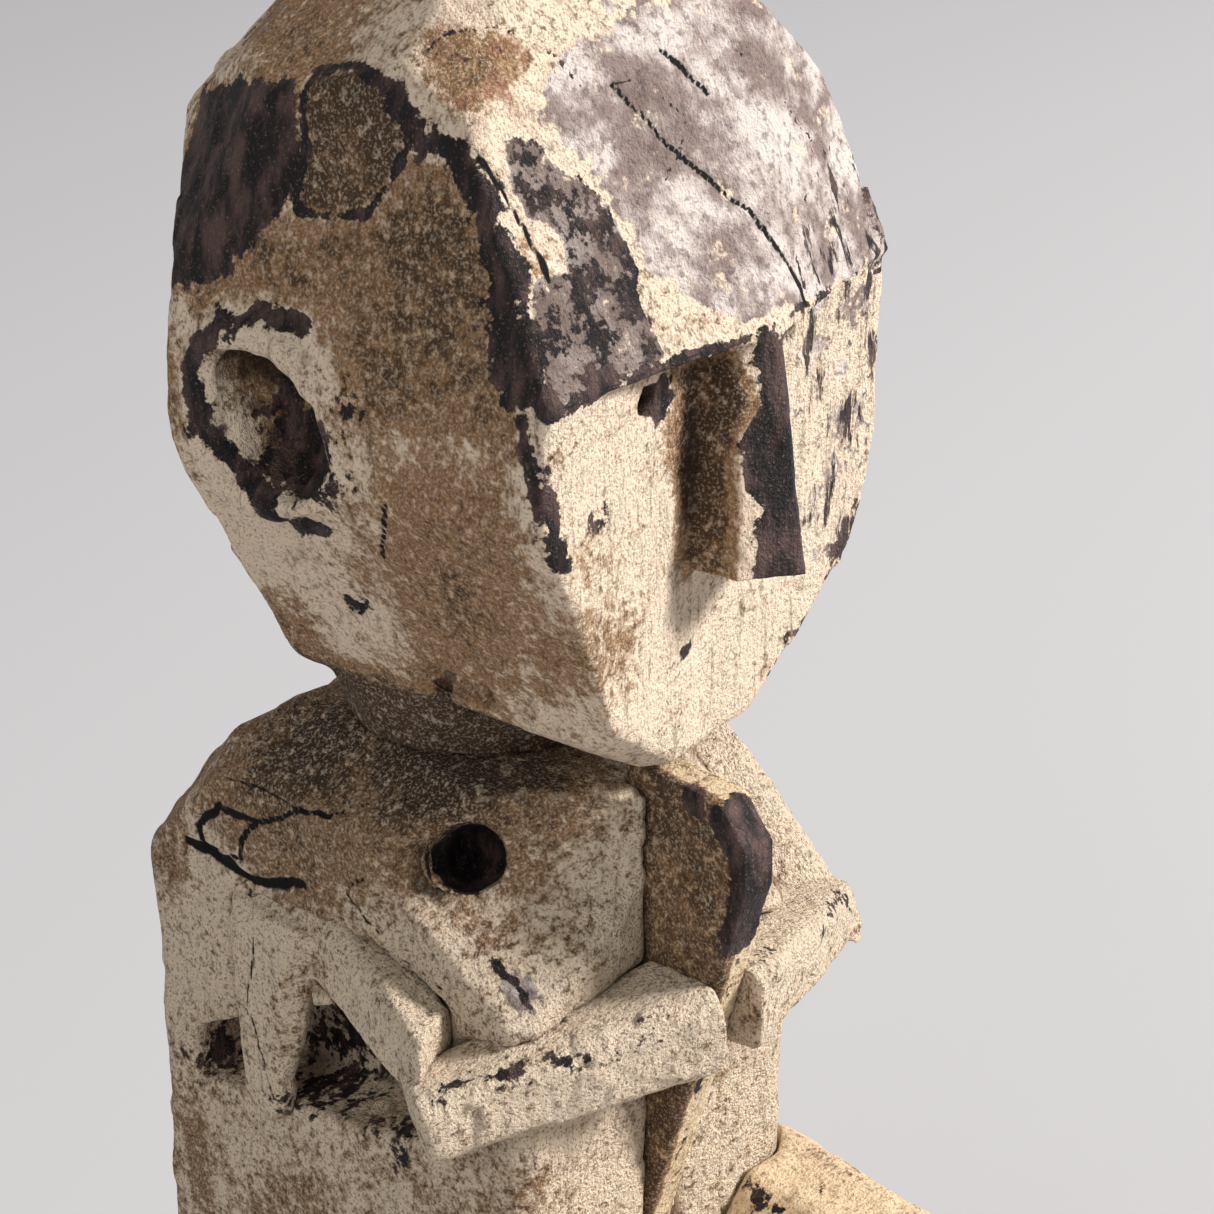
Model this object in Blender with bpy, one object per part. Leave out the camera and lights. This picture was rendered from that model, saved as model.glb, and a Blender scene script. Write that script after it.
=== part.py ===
"""Carved ancestor figure: a weathered wooden figure that sits on a low stool, with both hands at an upright
breast board.

Every piece is hewn from wood, so each one is a block with flat adze cuts, and hidden pegs and a neck tenon
hold the pieces together. Metres, +Z up. The figure faces -Y, its right side is at -X, and the origin is on
the ground under the middle of the trunk.
"""

import math

import bmesh
import bpy
from mathutils import Matrix, Vector

MM = 0.001
GAP = 0.3 * MM  # between any two pieces that touch or fit

# Heights
PLINTH_HEIGHT = 34 * MM
STOOL_HEIGHT = 92 * MM
TRUNK_HEIGHT = 218 * MM  # from the stool to the foot of the neck
BROW_ABOVE_NECK = 118 * MM
CHIN_ABOVE_NECK = 8 * MM
CROWN_ABOVE_NECK = 211 * MM

# Plinth and stool
PLINTH_WIDTH = 176 * MM
PLINTH_FRONT = 174 * MM  # ahead of the middle of the trunk
PLINTH_BACK = 96 * MM  # behind it
PLINTH_EDGE = 5 * MM
STOOL_WIDTH = 104 * MM
STOOL_FRONT = 48 * MM
STOOL_BACK = 66 * MM
STOOL_WAIST = 16 * MM  # how much narrower the stool is at half its height
STOOL_CORNER = 8 * MM

# Trunk, a squared log that narrows towards the front
TRUNK_BACK_WIDTH = 128 * MM
TRUNK_FRONT_WIDTH = 100 * MM
TRUNK_FRONT = 58 * MM
TRUNK_BACK = 80 * MM
TRUNK_CORNER = 6 * MM
ARM_LINE = 42 * MM  # the arms start this far below the foot of the neck
NECK_SHELF = 36 * MM  # half the width of the flat top round the neck
NECK_SHELF_BACK = 44 * MM  # how far the flat top runs back
NAPE_SLOPE = 50  # degrees up, the way the slope behind the neck faces
SHOULDER_DROP = 19 * MM  # from the foot of the neck to the shoulder's edge
SHOULDER_HIP = (50 * MM, 60 * MM, 18 * MM)  # a point of each back shoulder cut: out, back and down
BREAST_NOSE = 8 * MM  # half the width between the two halves of the breast
BREAST_SWEEP = 43  # degrees that each half runs back
BREAST_FILLET = 15 * MM  # height of the slope between the breast and the forearms
CHEST_HOLE = (42 * MM, 31 * MM, 17 * MM)  # its mouth: right, forward, below the foot of the neck
CHEST_HOLE_RADIUS = 7.5 * MM
CHEST_HOLE_DEPTH = 24 * MM
POCKET_DEPTH = 23 * MM  # the hollow behind each upper arm
POCKET_DROP = 27 * MM  # its top, below the arm line
POCKET_HEIGHT = 46 * MM
POCKET_FRONT = 22 * MM
POCKET_BACK = 62 * MM
POCKET_SILL = 80  # degrees down, the way the cut that makes its lower edge faces

# Head and neck, turned a little to the figure's left
HEAD_TURN = 11
HEAD_WIDTH = 142 * MM
HEAD_FRONT = 80 * MM  # the point of the brow, ahead of the neck's axis
HEAD_BACK = 78 * MM
BROW_SWEEP = {-1: 12.5, 1: 9.5}  # degrees that the right and the left half of the brow run back
FOREHEAD_SLOPE = {-1: 29, 1: 19}  # degrees up, the way each half of the forehead faces
CHEEK_FACE = 62 * MM  # beside the nose, ahead of the neck's axis
CHEEK_SWEEP = 3.5
NOSE_WIDTH = 28 * MM
NOSE_TOP_WIDTH = 16 * MM
NOSE_LENGTH = 58 * MM
NOSE_REACH = 89 * MM
EYE_SPREAD = 30 * MM
EYE_DROP = 10 * MM  # below the brow
EYE_RADIUS = 3.6 * MM
EYE_DEPTH = 9 * MM
EAR_RADIUS = 21.5 * MM
EAR_RIM = 4.2 * MM
EAR_BACK = 19 * MM  # behind the neck's axis
EAR_DROP = 20 * MM  # below the brow
EAR_HOLLOW = (11 * MM, 15 * MM, 17 * MM)
JAW_SLOT = (28 * MM, 19 * MM, 8 * MM)
NECK_RADIUS = 35 * MM
NECK_FLARE = 20 * MM
NECK_BACK = 9 * MM  # the neck stands this far behind the head's middle
TENON_RADIUS = 15 * MM
TENON_LENGTH = 40 * MM

# Breast board
BOARD_THICKNESS = 11 * MM
BOARD_REACH = 90 * MM
BOARD_TONGUE = 10 * MM  # let into the trunk
BOARD_LENGTH = 140 * MM
BOARD_RISE = 5 * MM  # its top, above the foot of the neck
BOARD_RAKE = 16.3  # degrees that the front edge runs back towards the lap
BOARD_SHOULDER = 18 * MM  # the front edge is furthest forward this far below the neck

# Arms and legs
ARM_THICKNESS = 22 * MM
FOREARM_HEIGHT = 22 * MM
ELBOW_OUT = {-1: 66 * MM, 1: 74 * MM}
ELBOW_FORWARD = 42 * MM
ELBOW_DROP = 74 * MM  # below the foot of the neck
HAND_FORWARD = 74 * MM
HAND_DROP = 58 * MM
FLAP_DROP = 72 * MM  # the worn end of the right arm hangs this far under the arm line
FLAP_WIDTH = 26 * MM
FLAP_THICKNESS = 11 * MM
LEG_SPREAD = 43 * MM
THIGH_WIDTH = 48 * MM
THIGH_HEIGHT = 44 * MM
KNEE_WIDTH = 44 * MM
LAP_HEIGHT = 87 * MM  # top of the thighs, above the stool
KNEE_FORWARD = 138 * MM
SHIN_DEPTH = 36 * MM
ANKLE_WIDTH = 26 * MM
FOOT_WIDTH = 34 * MM
FOOT_LENGTH = 62 * MM
FOOT_HEIGHT = 22 * MM
HEEL_BACK = 20 * MM  # behind the middle of the shin

# Pegs
PEG_RADIUS = 4 * MM
PEG_REACH = 14 * MM  # into each of the two pieces that it holds
PEG_PROUD = 2 * MM  # the neck peg stands out this far
NECK_PEG_DROP = 20 * MM
PEG_SPREAD = 26 * MM
LEG_PEG_SPREAD = 34 * MM

# Finishes: (colour, roughness)
CREAM_WOOD = ((0.60, 0.47, 0.32), 0.85)
WARM_WOOD = ((0.52, 0.38, 0.24), 0.85)
DARK_WOOD = ((0.14, 0.10, 0.08), 0.7)
PEG_WOOD = ((0.30, 0.20, 0.12), 0.75)

# Places that follow
STOOL_TOP = PLINTH_HEIGHT + STOOL_HEIGHT
NECK_FOOT = STOOL_TOP + TRUNK_HEIGHT
ARM_TOP = NECK_FOOT - ARM_LINE
BROW = NECK_FOOT + BROW_ABOVE_NECK
CHIN = NECK_FOOT + CHIN_ABOVE_NECK
CROWN = NECK_FOOT + CROWN_ABOVE_NECK
TRUNK_HALF = TRUNK_BACK_WIDTH / 2
BEYOND = 4 * HEAD_WIDTH  # far enough for a cutter to run past any piece
OUT = Vector((1, 0, 0))
BACK = Vector((0, 1, 0))
UP = Vector((0, 0, 1))

for item in list(bpy.data.objects):
    bpy.data.objects.remove(item, do_unlink=True)

figure = bpy.data.collections.new("ancestor_figure")
cutters = bpy.data.collections.new("cutters")
bpy.context.scene.collection.children.link(figure)
bpy.context.scene.collection.children.link(cutters)


def facing(azimuth, elevation=0):
    """Unit direction: azimuth 0 is the front and 90 the figure's left, elevation is above the ground."""
    turn, rise = math.radians(azimuth), math.radians(elevation)
    return Vector((math.sin(turn) * math.cos(rise), -math.cos(turn) * math.cos(rise), math.sin(rise)))


def new_object(name, bm, collection):
    mesh = bpy.data.meshes.new(name)
    bm.to_mesh(mesh)
    bm.free()
    made = bpy.data.objects.new(name, mesh)
    collection.objects.link(made)
    if collection == cutters:
        made.hide_render = True
        made.display_type = "WIRE"
    return made


def hew(bm, cuts):
    """Cuts a closed convex block with planes. Each cut is (a point on the plane, the way the plane faces)."""
    for point, normal in cuts:
        inside = bm.verts[:] + bm.edges[:] + bm.faces[:]
        made = bmesh.ops.bisect_plane(bm, geom=inside, plane_co=point, plane_no=normal, clear_outer=True)
        rim = [part for part in made["geom_cut"] if isinstance(part, bmesh.types.BMEdge)]
        if rim:
            bmesh.ops.holes_fill(bm, edges=rim)
    bmesh.ops.dissolve_limit(bm, angle_limit=math.radians(0.5), verts=bm.verts[:], edges=bm.edges[:])
    bmesh.ops.recalc_face_normals(bm, faces=bm.faces[:])


def block(name, low, high, cuts=(), collection=figure):
    """A box from its lowest to its highest corner, with adze cuts."""
    low, high = Vector(low), Vector(high)
    bm = bmesh.new()
    bmesh.ops.create_cube(bm, size=1)
    bmesh.ops.scale(bm, vec=high - low, verts=bm.verts[:])
    bmesh.ops.translate(bm, vec=(low + high) / 2, verts=bm.verts[:])
    hew(bm, cuts)
    return new_object(name, bm, collection)


def rod(name, start, end, radius, end_radius=None, sides=10, collection=figure):
    """A round or tapered bar between two points."""
    start, end = Vector(start), Vector(end)
    along = end - start
    turn = UP.rotation_difference(along).to_matrix().to_4x4()
    bm = bmesh.new()
    bmesh.ops.create_cone(
        bm,
        cap_ends=True,
        segments=sides,
        radius1=radius,
        radius2=radius if end_radius is None else end_radius,
        depth=along.length,
        matrix=Matrix.Translation((start + end) / 2) @ turn,
    )
    made = new_object(name, bm, collection)
    made.data.shade_smooth()
    made.data.set_sharp_from_angle(angle=math.radians(50))
    return made


def join(body, other, operation):
    """Adds other to body, or cuts it away, and applies the result."""
    modifier = body.modifiers.new(operation.lower(), "BOOLEAN")
    modifier.object = other
    modifier.operation = operation
    graph = bpy.context.evaluated_depsgraph_get()
    mesh = bpy.data.meshes.new_from_object(body.evaluated_get(graph))
    body.modifiers.clear()
    body.data = mesh


def add(body, *others):
    for other in others:
        join(body, other, "UNION")
        bpy.data.objects.remove(other)
    return body


def cut(body, *others):
    for other in others:
        join(body, other, "DIFFERENCE")
    return body


def finish(body, wood):
    """Gives a body its own material."""
    colour, roughness = wood
    material = bpy.data.materials.new(body.name + "_wood")
    material.use_nodes = True
    shader = material.node_tree.nodes["Principled BSDF"]
    shader.inputs["Base Color"].default_value = (*colour, 1)
    shader.inputs["Roughness"].default_value = roughness
    shader.inputs["Metallic"].default_value = 0
    body.data.materials.clear()
    body.data.materials.append(material)
    return body


def loft(name, sections, collection=figure):
    """A closed body through rings of corners, all with the same number of corners."""
    bm = bmesh.new()
    rings = [[bm.verts.new(corner) for corner in section] for section in sections]
    count = len(rings[0])
    for near, far in zip(rings, rings[1:]):
        for i in range(count):
            j = (i + 1) % count
            bm.faces.new((near[i], near[j], far[j]))
            bm.faces.new((near[i], far[j], far[i]))
    bm.faces.new(rings[0][::-1])
    bm.faces.new(rings[-1])
    bmesh.ops.recalc_face_normals(bm, faces=bm.faces[:])
    return new_object(name, bm, collection)


def section(centre, out, up, width, height, chamfer):
    """Corners of a rectangle with chamfered corners, width along out and height along up."""
    centre, out, up = Vector(centre), Vector(out).normalized(), Vector(up).normalized()
    w, h = width / 2, height / 2
    corners = []
    for sw, sh in ((1, 1), (-1, 1), (-1, -1), (1, -1)):
        near_w = (sw * (w - chamfer), sh * h)
        near_h = (sw * w, sh * (h - chamfer))
        corners += [near_h, near_w] if sw == sh else [near_w, near_h]
    return [centre + out * a + up * b for a, b in corners]


def limb(name, stations, collection=figure):
    """A squared bar through stations, each (centre, out, up, width, height, chamfer)."""
    return loft(name, [section(*station) for station in stations], collection)


# ---- head, neck and tenon, one piece ----
def dome_cuts():
    """Planes on an ellipsoid: (azimuth, elevation, depth of the cut into it), on both sides of the head."""
    centre = Vector((0, 0, BROW - 4 * MM))
    axes = (HEAD_WIDTH / 2 + 3 * MM, HEAD_FRONT + 6 * MM, CROWN - BROW + 5 * MM)
    cuts = []
    for azimuth, elevation, depth in (
        (90, 12, 6.5 * MM),
        (122, 24, 1 * MM),
        (165, 20, 0),
        (12, 42, -2 * MM),
        (20, 64, 0),
        (62, 46, -1 * MM),
        (106, 48, 4 * MM),
        (148, 44, 5 * MM),
        (80, 70, 3 * MM),
        (140, 68, 5 * MM),
    ):
        for side in (1, -1):
            normal = facing(side * azimuth, elevation)
            stretched = Vector([a * n for a, n in zip(axes, normal)])
            touch = Vector([a * a * n / stretched.length for a, n in zip(axes, normal)])
            cuts.append((centre + touch - normal * depth, normal))
    return cuts


def face_cuts():
    """The brow's two halves, the forehead, the jaw, the nape and the underside of the chin."""
    half = HEAD_WIDTH / 2
    cuts = [
        ((0, 0, CHIN), facing(180, -82)),
        ((0, -HEAD_FRONT + 20 * MM, CHIN), facing(0, -50)),
        ((-half, 0, BROW - 32 * MM), facing(-90, -25)),
        ((half, 0, BROW - 50 * MM), facing(90, -20)),
        ((0, HEAD_BACK, BROW - 20 * MM), facing(180, -22)),
        ((21 * MM - half, 0, CHIN + 20 * MM), facing(-90, -55)),
        ((half - 15 * MM, 0, CHIN + 16 * MM), facing(90, -50)),
    ]
    for side in (-1, 1):
        brow_point = (0, -HEAD_FRONT, BROW)
        cuts.append((brow_point, facing(side * BROW_SWEEP[side])))
        cuts.append((brow_point, facing(side * BROW_SWEEP[side], FOREHEAD_SLOPE[side])))
        cuts.append(((side * half, 31 * MM, BROW - 52 * MM), facing(side * 109, -30)))
        cuts.append(((side * 22 * MM, -58 * MM, CHIN + 2 * MM), facing(side * 42, -46)))
        for elevation, inset in ((-22, 0), (-9, 2 * MM), (4, 0)):
            nape = Vector((side * 46 * MM, 65 * MM, BROW - 32 * MM))
            away = facing(side * 145, elevation)
            cuts.append((nape - away * inset, away))
    return cuts


def ear_rim(side):
    """A round bar bent to a C that opens to the front."""
    middle = Vector((side * (HEAD_WIDTH / 2 - 4 * MM), EAR_BACK, BROW - EAR_DROP))
    start, sweep, steps = -127, 257, 9
    rings = []
    for step in range(steps + 1):
        angle = math.radians(start + sweep * step / steps)
        outward = Vector((0, math.cos(angle), math.sin(angle)))
        centre = middle + outward * EAR_RADIUS
        rings.append(section(centre, outward, OUT * side, 2 * EAR_RIM, 2.6 * EAR_RIM, 0.6 * EAR_RIM))
    return loft("ear_rim", rings)


def ear_hollow(side):
    hollow = bmesh.new()
    bmesh.ops.create_uvsphere(hollow, u_segments=12, v_segments=8, radius=1)
    bmesh.ops.scale(hollow, vec=EAR_HOLLOW, verts=hollow.verts[:])
    middle = (side * (HEAD_WIDTH / 2 + 2 * MM), EAR_BACK, BROW - EAR_DROP)
    bmesh.ops.translate(hollow, vec=middle, verts=hollow.verts[:])
    return new_object("ear_hollow_cut", hollow, cutters)


def make_nose():
    """A wedge that widens and stands further out towards its foot."""
    foot = BROW - NOSE_LENGTH
    reach = NOSE_REACH - HEAD_FRONT
    taper = math.degrees(math.atan2((NOSE_WIDTH - NOSE_TOP_WIDTH) / 2, NOSE_LENGTH))
    sweep = 38
    lean = math.degrees(math.atan2(reach * math.cos(math.radians(sweep)), NOSE_LENGTH))
    cuts = []
    for side in (-1, 1):
        cuts.append(((0, -NOSE_REACH, foot), facing(side * sweep, lean)))
        cuts.append(((side * NOSE_TOP_WIDTH / 2, 0, BROW), facing(side * 90, taper)))
    low = (-NOSE_WIDTH / 2, -NOSE_REACH, foot)
    return block("nose", low, (NOSE_WIDTH / 2, 6 * MM - CHEEK_FACE, BROW + 2 * MM), cuts)


def make_head():
    half = HEAD_WIDTH / 2
    head = block("head", (-half, -HEAD_FRONT, CHIN), (half, HEAD_BACK, CROWN), face_cuts() + dome_cuts())
    cheeks = block(
        "cheek_cut",
        (-BEYOND, -BEYOND, CHIN - BEYOND),
        (BEYOND, 10 * MM - CHEEK_FACE, BROW),
        [((0, -CHEEK_FACE, BROW), facing(180 + side * CHEEK_SWEEP)) for side in (-1, 1)],
        cutters,
    )
    cut(head, cheeks)
    neck_low = Vector((0, NECK_BACK, NECK_FOOT + GAP))
    neck = rod("neck", neck_low, neck_low + UP * 66 * MM, NECK_RADIUS, NECK_RADIUS + NECK_FLARE, 14)
    tenon_low = neck_low - UP * (TENON_LENGTH + GAP)
    tenon = rod("tenon", tenon_low, neck_low + UP * 20 * MM, TENON_RADIUS, sides=12)
    add(head, make_nose(), neck, tenon)
    for side in (-1, 1):
        cut(head, ear_hollow(side))
        add(head, ear_rim(side))
        eye = Vector((side * EYE_SPREAD, EYE_DEPTH - CHEEK_FACE, BROW - EYE_DROP))
        cut(head, rod("eye_cut", eye - BACK * 30 * MM, eye, EYE_RADIUS, sides=8, collection=cutters))
    slot_low = Vector((-66 * MM, -28 * MM, CHIN + 17 * MM))
    cut(head, block("jaw_slot_cut", slot_low, slot_low + Vector(JAW_SLOT), collection=cutters))
    head.rotation_euler.z = math.radians(HEAD_TURN)
    return head


# ---- trunk ----
def trunk_side(side, extra=0.0):
    """The plane of one side of the trunk, moved out by extra: (a point on it, the way it faces)."""
    run = (TRUNK_BACK_WIDTH - TRUNK_FRONT_WIDTH) / 2
    tilt = math.degrees(math.atan2(run, TRUNK_FRONT + TRUNK_BACK))
    normal = facing(side * (90 - tilt))
    return Vector((side * TRUNK_HALF, TRUNK_BACK, 0)) + normal * extra, normal


def shoulder_cuts(extra):
    slope = math.degrees(math.atan2(TRUNK_HALF - NECK_SHELF, SHOULDER_DROP))
    hip_out, hip_back, hip_down = SHOULDER_HIP
    cuts = [((0, NECK_SHELF_BACK, NECK_FOOT + extra), facing(180, NAPE_SLOPE))]
    for side in (-1, 1):
        cuts.append(((side * NECK_SHELF, 0, NECK_FOOT + extra), facing(side * 90, slope)))
        cuts.append(((side * hip_out, hip_back, NECK_FOOT - hip_down + extra), facing(side * 140, 35)))
    return cuts


def log(name, extra, collection):
    """The log with its shoulders and breast, every face moved out by extra."""
    corner = TRUNK_CORNER - extra
    front_edge = TRUNK_FRONT_WIDTH / 2 - corner
    sides = []
    for side in (-1, 1):
        sides.append(trunk_side(side, extra))
        sides.append(((side * (TRUNK_HALF - corner), TRUNK_BACK + extra, 0), facing(side * 135)))
        sides.append(((side * front_edge, -TRUNK_FRONT - extra, 0), facing(side * 40)))
    low = (-TRUNK_HALF - extra, -TRUNK_FRONT - extra, STOOL_TOP + GAP - extra)
    high = (TRUNK_HALF + extra, TRUNK_BACK + extra, NECK_FOOT + extra)
    trunk = block(name, low, high, sides + shoulder_cuts(extra), collection)
    for side in (-1, 1):
        nose = Vector((side * BREAST_NOSE, -TRUNK_FRONT, 0))
        sweep = facing(side * BREAST_SWEEP)
        fillet_top = nose + UP * (ARM_TOP + BREAST_FILLET + extra * 1.5)
        breast = [(nose + sweep * extra, -sweep), (fillet_top, -facing(side * BREAST_SWEEP, 45))]
        cut(trunk, block("breast_cut", (-BEYOND, -BEYOND, 0), (BEYOND, BEYOND, CROWN), breast, cutters))
    return trunk


def make_trunk():
    trunk = log("trunk", 0, figure)
    slot_half = BOARD_THICKNESS / 2 + GAP
    slot = block(
        "board_slot_cut",
        (-slot_half, -BEYOND, NECK_FOOT - BOARD_LENGTH - GAP),
        (slot_half, BOARD_TONGUE + GAP - TRUNK_FRONT, CROWN),
        collection=cutters,
    )
    socket_low = Vector((0, NECK_BACK, NECK_FOOT - TENON_LENGTH - GAP))
    socket_top = Vector((0, NECK_BACK, NECK_FOOT + 20 * MM))
    socket = rod("neck_socket_cut", socket_low, socket_top, TENON_RADIUS + GAP, sides=12, collection=cutters)
    socket.rotation_euler.z = math.radians(HEAD_TURN)
    hole_right, hole_forward, hole_down = CHEST_HOLE
    mouth = Vector((-hole_right, -hole_forward, NECK_FOOT - hole_down))
    way_out = facing(-50, 25)
    hole = rod(
        "chest_hole_cut",
        mouth + way_out * 20 * MM,
        mouth - way_out * CHEST_HOLE_DEPTH,
        CHEST_HOLE_RADIUS,
        sides=12,
        collection=cutters,
    )
    cut(trunk, slot, socket, hole)
    pocket_top = ARM_TOP - POCKET_DROP
    for side in (-1, 1):
        floor, normal = trunk_side(side, -POCKET_DEPTH)
        low = (min(side * BEYOND, 0), -POCKET_FRONT, pocket_top - POCKET_HEIGHT)
        high = (max(side * BEYOND, 0), POCKET_BACK, pocket_top)
        sill = (0, POCKET_BACK, pocket_top - POCKET_HEIGHT)
        cuts = [(floor, -normal), ((0, 5 * MM, pocket_top), facing(180, 62)), (sill, facing(0, -POCKET_SILL))]
        cut(trunk, block("pocket_cut", low, high, cuts, cutters))
    return trunk


# ---- breast board ----
def make_board():
    """Stands in the slot of the trunk, and its front edge runs back towards the lap."""
    half = BOARD_THICKNESS / 2
    low = (-half, -BOARD_REACH, NECK_FOOT - BOARD_LENGTH)
    high = (half, BOARD_TONGUE - TRUNK_FRONT, NECK_FOOT + BOARD_RISE)
    cuts = [
        ((0, -BOARD_REACH, NECK_FOOT - BOARD_SHOULDER), facing(0, -BOARD_RAKE)),
        ((0, -BOARD_REACH, NECK_FOOT - 5 * MM), facing(0, 42)),
    ]
    return block("breast_board", low, high, cuts)


# ---- fits between the pieces ----
def seat_on_trunk(body):
    """Trims a body so that it lies against the trunk with the gap between them."""
    return cut(body, log("trunk_room_cut", GAP, cutters))


def seat_on_board(body, side):
    """Ends a forearm at the board's face with the gap between them."""
    face = side * (BOARD_THICKNESS / 2 + GAP)
    low = (min(face, -side * BEYOND), -BEYOND, 0)
    high = (max(face, -side * BEYOND), 0, CROWN)
    return cut(body, block("board_room_cut", low, high, collection=cutters))


# ---- arms ----
def forearm_line(side):
    """The middle of the elbow's end and of the hand's end."""
    elbow = Vector((side * ELBOW_OUT[side], -ELBOW_FORWARD, NECK_FOOT - ELBOW_DROP))
    hand = Vector((0, -HAND_FORWARD, NECK_FOOT - HAND_DROP))
    return elbow, hand


def forearm(side, name, extra=0.0, collection=figure):
    """From the elbow up and forward to the breast board, every face moved out by extra."""
    elbow, hand = forearm_line(side)
    along = (hand - elbow).normalized()
    reach = (hand - elbow).length
    out = along.cross(UP * side).normalized()
    up = out.cross(along).normalized() * side
    wide, high = ARM_THICKNESS + 2 * extra, FOREARM_HEIGHT + 2 * extra
    stations = [
        (elbow - along * (4 * MM + extra), out, up, wide, high - 4 * MM, 3 * MM),
        (elbow + along * reach * 0.45, out, up, wide + 4 * MM, high, 3 * MM),
        (hand, out, up, wide + 6 * MM, high + 2 * MM, 3 * MM),
    ]
    return limb(name, stations, collection)


def right_upper_arm(name, extra=0.0, collection=figure):
    """The bar from the shoulder forward to the elbow, and the worn end that hangs down before the hollow. Both
    lie in the side of the trunk, and every face is moved out by extra."""
    grown = 2 * extra
    inner = ARM_THICKNESS / 2
    shoulder = (inner + 2 * MM - TRUNK_HALF, 42 * MM + extra, ARM_TOP - 11 * MM)
    armpit = (inner + 5 * MM - TRUNK_HALF, 14 * MM, ARM_TOP - 14 * MM)
    elbow = (4 * MM - TRUNK_HALF, -38 * MM - extra, ARM_TOP - 22 * MM)
    bar = limb(
        name,
        [
            (shoulder, OUT, UP, ARM_THICKNESS - 6 * MM + grown, 14 * MM + grown, 3 * MM),
            (armpit, OUT, UP, ARM_THICKNESS - 4 * MM + grown, 26 * MM + grown, 4 * MM),
            (elbow, (1, 0.5, 0), UP, ARM_THICKNESS + grown, 22 * MM + grown, 3 * MM),
        ],
        collection,
    )
    outer = FLAP_THICKNESS / 2 - 1 * MM
    root = (outer + 4 * MM - TRUNK_HALF, 30 * MM, ARM_TOP - 8 * MM + extra)
    middle = (outer + 2 * MM - TRUNK_HALF, 32 * MM, ARM_TOP - 40 * MM)
    tip = (outer + 1 * MM - TRUNK_HALF, 35 * MM, ARM_TOP - FLAP_DROP - extra)
    flap = limb(
        "flap",
        [
            (root, OUT, BACK, FLAP_THICKNESS + grown, 34 * MM + grown, 4 * MM),
            (middle, OUT, BACK, FLAP_THICKNESS + grown, FLAP_WIDTH + grown, 4 * MM),
            (tip, OUT, BACK, FLAP_THICKNESS - 4 * MM + grown, 15 * MM + grown, 2 * MM),
        ],
    )
    return add(bar, flap)


def left_whole_arm():
    elbow, _ = forearm_line(1)
    shoulder = Vector((TRUNK_HALF - 6 * MM, -8 * MM, NECK_FOOT - 24 * MM))
    upper = limb(
        "left_arm",
        [
            (shoulder, (1, -0.2, 0), (0, 1, 0.6), 24 * MM, 30 * MM, 6 * MM),
            (elbow, (1, -0.4, 0), (0, 1, 0.8), 24 * MM, 26 * MM, 5 * MM),
        ],
    )
    return add(seat_on_trunk(upper), forearm(1, "left_forearm"))


# ---- legs ----
def leg(side, name):
    """Thigh, shin and foot, cut from one bent piece."""
    x = side * LEG_SPREAD
    shin_y = SHIN_DEPTH / 2 - KNEE_FORWARD
    middle = STOOL_TOP + LAP_HEIGHT - THIGH_HEIGHT / 2
    ground = PLINTH_HEIGHT + GAP
    thigh = limb(
        name,
        [
            ((x, 10 * MM - TRUNK_FRONT, middle), OUT, UP, THIGH_WIDTH, THIGH_HEIGHT, 12 * MM),
            ((x, 14 * MM - KNEE_FORWARD, middle), OUT, UP, KNEE_WIDTH, THIGH_HEIGHT - 4 * MM, 12 * MM),
            ((x, -KNEE_FORWARD, middle - 6 * MM), OUT, UP, THIGH_WIDTH / 2, THIGH_HEIGHT / 2, 6 * MM),
        ],
    )
    shin = limb(
        "shin",
        [
            ((x, shin_y, middle), OUT, BACK, THIGH_WIDTH - 8 * MM, SHIN_DEPTH, 7 * MM),
            ((x, shin_y, ground + FOOT_HEIGHT + 8 * MM), OUT, BACK, ANKLE_WIDTH, SHIN_DEPTH - 8 * MM, 6 * MM),
            ((x, shin_y, ground), OUT, BACK, FOOT_WIDTH - 4 * MM, SHIN_DEPTH - 4 * MM, 6 * MM),
        ],
    )
    heel = shin_y + HEEL_BACK
    toe = heel - FOOT_LENGTH
    low = (x - FOOT_WIDTH / 2, toe, ground)
    high = (x + FOOT_WIDTH / 2, heel, ground + FOOT_HEIGHT)
    instep = ((x, toe + 14 * MM, ground + FOOT_HEIGHT), facing(0, 65))
    return add(thigh, shin, block("foot", low, high, [instep]))


# ---- stool and plinth ----
def make_stool():
    """A squared block that is narrower half way up."""
    middle = (STOOL_BACK - STOOL_FRONT) / 2
    length = STOOL_BACK + STOOL_FRONT
    low, high = PLINTH_HEIGHT + GAP, STOOL_TOP
    stations = []
    for height, narrower in ((low, 0), ((low + high) / 2, STOOL_WAIST), (high, 0)):
        centre = (0, middle, height)
        stations.append((centre, OUT, BACK, STOOL_WIDTH - narrower, length - narrower, STOOL_CORNER))
    return limb("stool", stations)


def make_plinth():
    half = PLINTH_WIDTH / 2
    edges = []
    for azimuth, reach in ((0, PLINTH_FRONT), (90, half), (180, PLINTH_BACK), (270, half)):
        edges.append((facing(azimuth) * (reach - PLINTH_EDGE) + UP * PLINTH_HEIGHT, facing(azimuth, 45)))
    return block("plinth", (-half, -PLINTH_FRONT, 0), (half, PLINTH_BACK, PLINTH_HEIGHT), edges)


# ---- pegs ----
def peg(name, start, end, *bodies):
    """A turned peg between two points, with a hole for it in each body that it holds."""
    start, end = Vector(start), Vector(end)
    slack = (end - start).normalized() * GAP
    hole = rod(name + "_cut", start - slack, end + slack, PEG_RADIUS + GAP, sides=8, collection=cutters)
    for body in bodies:
        cut(body, hole)
    return finish(rod(name, start, end, PEG_RADIUS, sides=8), PEG_WOOD)


def dowel(name, joint, direction, *bodies):
    """A hidden peg that reaches the same way into the two bodies on either side of a joint."""
    reach = Vector(direction).normalized() * PEG_REACH
    return peg(name, Vector(joint) - reach, Vector(joint) + reach, *bodies)


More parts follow.
